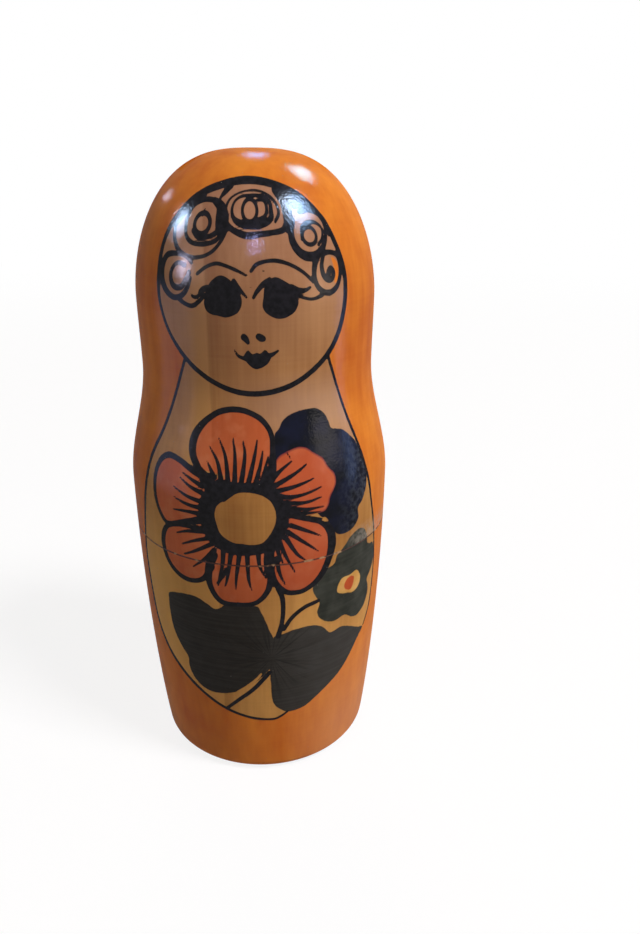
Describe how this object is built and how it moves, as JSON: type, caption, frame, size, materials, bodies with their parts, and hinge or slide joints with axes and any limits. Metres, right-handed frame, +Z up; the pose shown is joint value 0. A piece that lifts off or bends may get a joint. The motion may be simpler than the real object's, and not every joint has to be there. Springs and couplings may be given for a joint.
{
  "type": "nesting doll",
  "caption": "Slender turned wooden nesting doll; each doll parts at a spigot seam into two hollow halves that hold the next smaller doll.",
  "frame": {"origin": "centre of the outermost doll's flat base, on the surface it stands on", "axes": "+Z up along the turning axis; the painted face looks along -Y"},
  "size_m": [0.0724, 0.0724, 0.17],
  "materials": {
    "painted_limewood": "orange dye, bare wood and black ink under clear gloss lacquer outside, bare turned wood inside"
  },
  "bodies": {
    "doll_1_bottom": {"doll_1_bottom": "painted_limewood"},
    "doll_1_top": {"doll_1_top": "painted_limewood"},
    "doll_2_bottom": {"doll_2_bottom": "painted_limewood"},
    "doll_2_top": {"doll_2_top": "painted_limewood"},
    "doll_3_bottom": {"doll_3_bottom": "painted_limewood"},
    "doll_3_top": {"doll_3_top": "painted_limewood"},
    "doll_4_bottom": {"doll_4_bottom": "painted_limewood"},
    "doll_4_top": {"doll_4_top": "painted_limewood"},
    "doll_5_bottom": {"doll_5_bottom": "painted_limewood"},
    "doll_5_top": {"doll_5_top": "painted_limewood"},
    "doll_6_bottom": {"doll_6_bottom": "painted_limewood"},
    "doll_6_top": {"doll_6_top": "painted_limewood"},
    "doll_7_solid": {"doll_7_solid": "painted_limewood"}
  },
  "joints": [
    {"name": "doll_1_top_lift", "type": "slide", "parent": "doll_1_bottom", "child": "doll_1_top", "axis": [0, 0, 1], "range_m": [0, 0.651]},
    {"name": "doll_2_lift_out", "type": "slide", "parent": "doll_1_bottom", "child": "doll_2_bottom", "axis": [0, 0, 1], "range_m": [0, 0.08]},
    {"name": "doll_2_top_lift", "type": "slide", "parent": "doll_2_bottom", "child": "doll_2_top", "axis": [0, 0, 1], "range_m": [0, 0.483]},
    {"name": "doll_3_lift_out", "type": "slide", "parent": "doll_2_bottom", "child": "doll_3_bottom", "axis": [0, 0, 1], "range_m": [0, 0.066]},
    {"name": "doll_3_top_lift", "type": "slide", "parent": "doll_3_bottom", "child": "doll_3_top", "axis": [0, 0, 1], "range_m": [0, 0.345]},
    {"name": "doll_4_lift_out", "type": "slide", "parent": "doll_3_bottom", "child": "doll_4_bottom", "axis": [0, 0, 1], "range_m": [0, 0.054]},
    {"name": "doll_4_top_lift", "type": "slide", "parent": "doll_4_bottom", "child": "doll_4_top", "axis": [0, 0, 1], "range_m": [0, 0.232]},
    {"name": "doll_5_lift_out", "type": "slide", "parent": "doll_4_bottom", "child": "doll_5_bottom", "axis": [0, 0, 1], "range_m": [0, 0.044]},
    {"name": "doll_5_top_lift", "type": "slide", "parent": "doll_5_bottom", "child": "doll_5_top", "axis": [0, 0, 1], "range_m": [0, 0.139]},
    {"name": "doll_6_lift_out", "type": "slide", "parent": "doll_5_bottom", "child": "doll_6_bottom", "axis": [0, 0, 1], "range_m": [0, 0.036]},
    {"name": "doll_6_top_lift", "type": "slide", "parent": "doll_6_bottom", "child": "doll_6_top", "axis": [0, 0, 1], "range_m": [0, 0.063]},
    {"name": "doll_7_lift_out", "type": "slide", "parent": "doll_6_bottom", "child": "doll_7_solid", "axis": [0, 0, 1], "range_m": [0, 0.03]}
  ],
  "couplings": [
    {"joint": "doll_2_lift_out", "follows": "doll_1_top_lift", "ratio": 0.12289},
    {"joint": "doll_2_top_lift", "follows": "doll_1_top_lift", "ratio": 0.74194},
    {"joint": "doll_3_lift_out", "follows": "doll_1_top_lift", "ratio": 0.10138},
    {"joint": "doll_3_top_lift", "follows": "doll_1_top_lift", "ratio": 0.52995},
    {"joint": "doll_4_lift_out", "follows": "doll_1_top_lift", "ratio": 0.082949},
    {"joint": "doll_4_top_lift", "follows": "doll_1_top_lift", "ratio": 0.35637},
    {"joint": "doll_5_lift_out", "follows": "doll_1_top_lift", "ratio": 0.067588},
    {"joint": "doll_5_top_lift", "follows": "doll_1_top_lift", "ratio": 0.21352},
    {"joint": "doll_6_lift_out", "follows": "doll_1_top_lift", "ratio": 0.0553},
    {"joint": "doll_6_top_lift", "follows": "doll_1_top_lift", "ratio": 0.096774},
    {"joint": "doll_7_lift_out", "follows": "doll_1_top_lift", "ratio": 0.046083}
  ]
}
